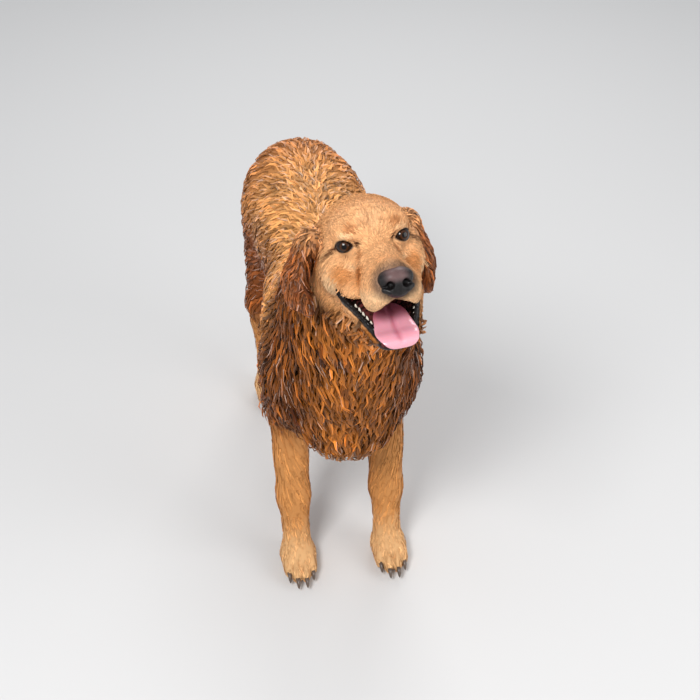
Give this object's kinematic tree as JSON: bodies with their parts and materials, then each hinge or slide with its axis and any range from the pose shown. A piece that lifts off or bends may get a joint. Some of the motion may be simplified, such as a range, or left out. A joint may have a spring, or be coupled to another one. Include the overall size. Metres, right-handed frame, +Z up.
{
  "type": "golden retriever",
  "caption": "Life-size golden retriever model standing square with raised head, open mouth, tongue out and damp golden coat; a whole animal that stands on its flat paw soles.",
  "frame": {"origin": "on the floor, under the middle of the box round the whole dog", "axes": "+Z up; the dog stands along Y and faces -Y; +X is the dog's left"},
  "size_m": [0.2682, 0.9964, 0.8254],
  "materials": {
    "coat": "damp golden fur in short wavy locks, redder on the back, paler on the face and chest",
    "feather_coat": "long golden tail feather",
    "ear_coat": "damp red-brown wavy fur",
    "nose": "damp black pebbled nose leather",
    "tongue": "wet pink tongue with a groove down the middle",
    "eye": "wet, very dark brown",
    "claw": "dark horn"
  },
  "bodies": {
    "root": {"chest": "coat", "claw_front_left_1": "claw", "claw_front_left_2": "claw", "claw_front_left_3": "claw", "claw_front_left_4": "claw", "claw_front_right_1": "claw", "claw_front_right_2": "claw", "claw_front_right_3": "claw", "claw_front_right_4": "claw", "claw_hind_left_1": "claw", "claw_hind_left_2": "claw", "claw_hind_left_3": "claw", "claw_hind_left_4": "claw", "claw_hind_right_1": "claw", "claw_hind_right_2": "claw", "claw_hind_right_3": "claw", "claw_hind_right_4": "claw", "ear_left": "ear_coat", "ear_right": "ear_coat", "eye_left": "eye", "eye_right": "eye", "forearm_left": "coat", "forearm_right": "coat", "head": "coat", "jaw": "coat", "loin": "coat", "neck": "coat", "nose": "nose", "paw_front_left": "coat", "paw_front_right": "coat", "paw_hind_left": "coat", "paw_hind_right": "coat", "rump": "coat", "shank_left": "coat", "shank_right": "coat", "tail_lower": "feather_coat", "tail_upper": "feather_coat", "thigh_left": "coat", "thigh_right": "coat", "tongue": "tongue", "upper_arm_left": "coat", "upper_arm_right": "coat"}
  },
  "joints": []
}
